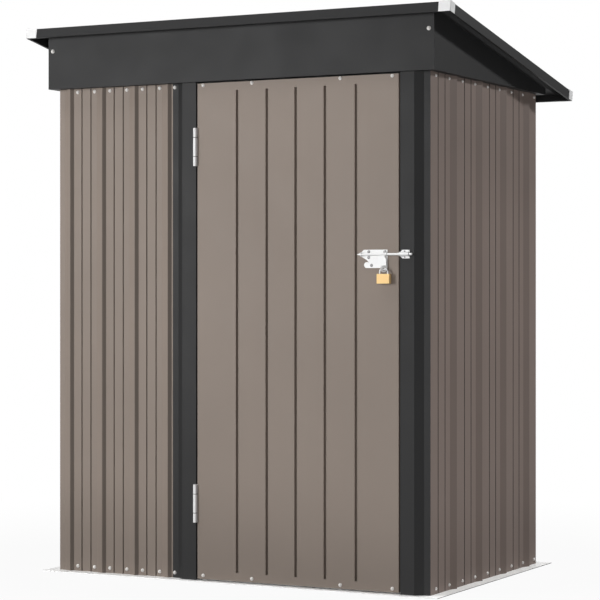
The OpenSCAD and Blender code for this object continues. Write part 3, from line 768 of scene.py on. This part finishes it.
def pale_floor(studio):
    """Makes the floor's material: shaded inside the shed, pale with its shadow outside, white far away."""
    finish = bpy.data.materials.new("pale_floor")
    finish.use_nodes = True
    nodes = finish.node_tree.nodes
    links = finish.node_tree.links
    nodes.clear()
    out = nodes.new("ShaderNodeOutputMaterial")
    matt = nodes.new("ShaderNodeBsdfDiffuse")
    matt.inputs["Color"].default_value = (FLOOR_GREY, FLOOR_GREY, FLOOR_GREY, 1)
    white = nodes.new("ShaderNodeEmission")
    mix = nodes.new("ShaderNodeMixShader")
    place = nodes.new("ShaderNodeTexCoord").outputs["Object"]
    reach = nodes.new("ShaderNodeVectorMath")
    reach.operation = "LENGTH"
    links.new(place, reach.inputs[0])
    far = ramp(nodes, links, reach.outputs["Value"],
               start=FLOOR_NEAR, end=FLOOR_FAR, low=NEAR_WHITE, high=1)
    middle = nodes.new("ShaderNodeMapping")
    middle.inputs["Location"].default_value = (0, -(FRONT_LO.y + BACK_HI.y) / 2, 0)
    links.new(place, middle.inputs["Vector"])
    plan = axes_of(nodes, links, middle.outputs["Vector"])
    past_side = beyond(nodes, links, plan["X"], SIDE_HI.x)
    past_front = beyond(nodes, links, plan["Y"], (BACK_HI.y - FRONT_LO.y) / 2)
    past = reckon(nodes, links, "MAXIMUM", past_side, past_front)
    outside = ramp(nodes, links, past, start=-INSIDE_EDGE, end=0, low=INSIDE_WHITE, high=1)
    open_floor = reckon(nodes, links, "MULTIPLY", far, outside)
    share = reckon(nodes, links, "MULTIPLY", open_floor, backdrop(nodes, links, place, studio))
    links.new(share, mix.inputs[0])
    links.new(matt.outputs[0], mix.inputs[1])
    links.new(white.outputs[0], mix.inputs[2])
    links.new(mix.outputs[0], out.inputs["Surface"])
    return finish


def lay_floor(scene):
    """Lays the floor under the shed."""
    shape = bmesh.new()
    bmesh.ops.create_grid(shape, x_segments=1, y_segments=1, size=FLOOR_HALF)
    mesh = bpy.data.meshes.new("studio_floor")
    shape.to_mesh(mesh)
    shape.free()
    mesh.materials.append(pale_floor(scene.shed_studio))
    floor = bpy.data.objects.new("studio_floor", mesh)
    scene.collection.objects.link(floor)


def light_room(scene):
    """Sets the even light of the room, its white background and the lights."""
    studio = scene.shed_studio
    scene.world = bpy.data.worlds.new("studio_room")
    scene.world.use_nodes = True
    nodes = scene.world.node_tree.nodes
    links = scene.world.node_tree.links
    room = nodes["Background"]
    room.inputs["Color"].default_value = (1, 1, 1, 1)
    way = nodes.new("ShaderNodeTexCoord").outputs["Generated"]
    white = backdrop(nodes, links, way, studio)
    links.new(reckon(nodes, links, "MAXIMUM", white, studio.room), room.inputs["Strength"])
    for name, (place, target, size, setting) in LIGHTS.items():
        aim_light(name, place, target, size, getattr(studio, setting))


def set_camera(scene):
    """Sets the camera where the photograph was taken from."""
    studio = scene.shed_studio
    camera = bpy.data.cameras.new("photo_camera")
    camera.sensor_fit = "HORIZONTAL"
    camera.sensor_width = SENSOR
    camera.lens = studio.lens
    camera.shift_y = studio.shift
    camera.clip_end = CLIP_END
    view = bpy.data.objects.new("photo_camera", camera)
    view.location = studio.eye
    view.rotation_euler = (math.radians(90), 0, studio.yaw)
    scene.collection.objects.link(view)
    scene.camera = view
    scene.view_settings.view_transform = "Standard"


class SHED_OT_studio(bpy.types.Operator):
    """Lays the floor and sets the lights and the camera."""
    bl_idname = "shed.studio"
    bl_label = "Studio"

    def execute(self, context):
        lay_floor(context.scene)
        light_room(context.scene)
        set_camera(context.scene)
        return {"FINISHED"}


class SHED_PT_panel(bpy.types.Panel):
    """Lists the steps that finish the shed."""
    bl_idname = "SHED_PT_panel"
    bl_label = "Storage Shed"
    bl_space_type = "VIEW_3D"
    bl_region_type = "UI"
    bl_category = "Shed"

    def draw(self, context):
        for step in STEPS:
            self.layout.operator(step.bl_idname)


GROUPS = (ShedColours, ShedBolts, ShedStudio)
STEPS = (
    SHED_OT_studio,
    SHED_OT_paint_sheets,
    SHED_OT_paint_trim,
    SHED_OT_paint_frame,
    SHED_OT_finish_base,
    SHED_OT_finish_hardware,
    SHED_OT_front_bolts,
    SHED_OT_side_bolts,
    SHED_OT_door_bolts,
    SHED_OT_fascia_bolts,
    SHED_OT_latch_screws,
)


def register():
    for kind in (*GROUPS, *STEPS, SHED_PT_panel):
        bpy.utils.register_class(kind)
    bpy.types.Scene.shed_colours = PointerProperty(type=ShedColours)
    bpy.types.Scene.shed_bolts = PointerProperty(type=ShedBolts)
    bpy.types.Scene.shed_studio = PointerProperty(type=ShedStudio)


def unregister():
    del bpy.types.Scene.shed_studio
    del bpy.types.Scene.shed_bolts
    del bpy.types.Scene.shed_colours
    for kind in reversed((*GROUPS, *STEPS, SHED_PT_panel)):
        bpy.utils.unregister_class(kind)


def main():
    register()
    bpy.ops.shed.studio()
    bpy.ops.shed.paint_sheets()
    bpy.ops.shed.paint_trim()
    bpy.ops.shed.paint_frame()
    bpy.ops.shed.finish_base()
    bpy.ops.shed.finish_hardware()
    bpy.ops.shed.front_bolts()
    bpy.ops.shed.side_bolts()
    bpy.ops.shed.door_bolts()
    bpy.ops.shed.fascia_bolts()
    bpy.ops.shed.latch_screws()


if __name__ == "__main__":
    main()
